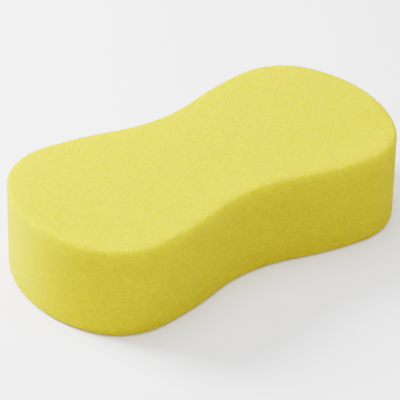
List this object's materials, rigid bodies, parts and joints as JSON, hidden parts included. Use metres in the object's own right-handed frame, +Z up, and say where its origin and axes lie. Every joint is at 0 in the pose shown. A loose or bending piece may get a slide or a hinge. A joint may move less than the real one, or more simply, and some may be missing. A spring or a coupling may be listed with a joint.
{
  "type": "foam sponge",
  "caption": "Thick figure-eight foam sponge with a flat top and underside, rounded lobes and a hollowed waist to grip.",
  "frame": {"origin": "centre of the underside", "axes": "+X along the length, +Y across the width, +Z up through the thickness"},
  "size_m": [0.22, 0.11, 0.052],
  "materials": {
    "foam": "matte open-cell polyurethane foam, pale yellow"
  },
  "bodies": {
    "root": {"foam_block": "foam"}
  },
  "joints": []
}
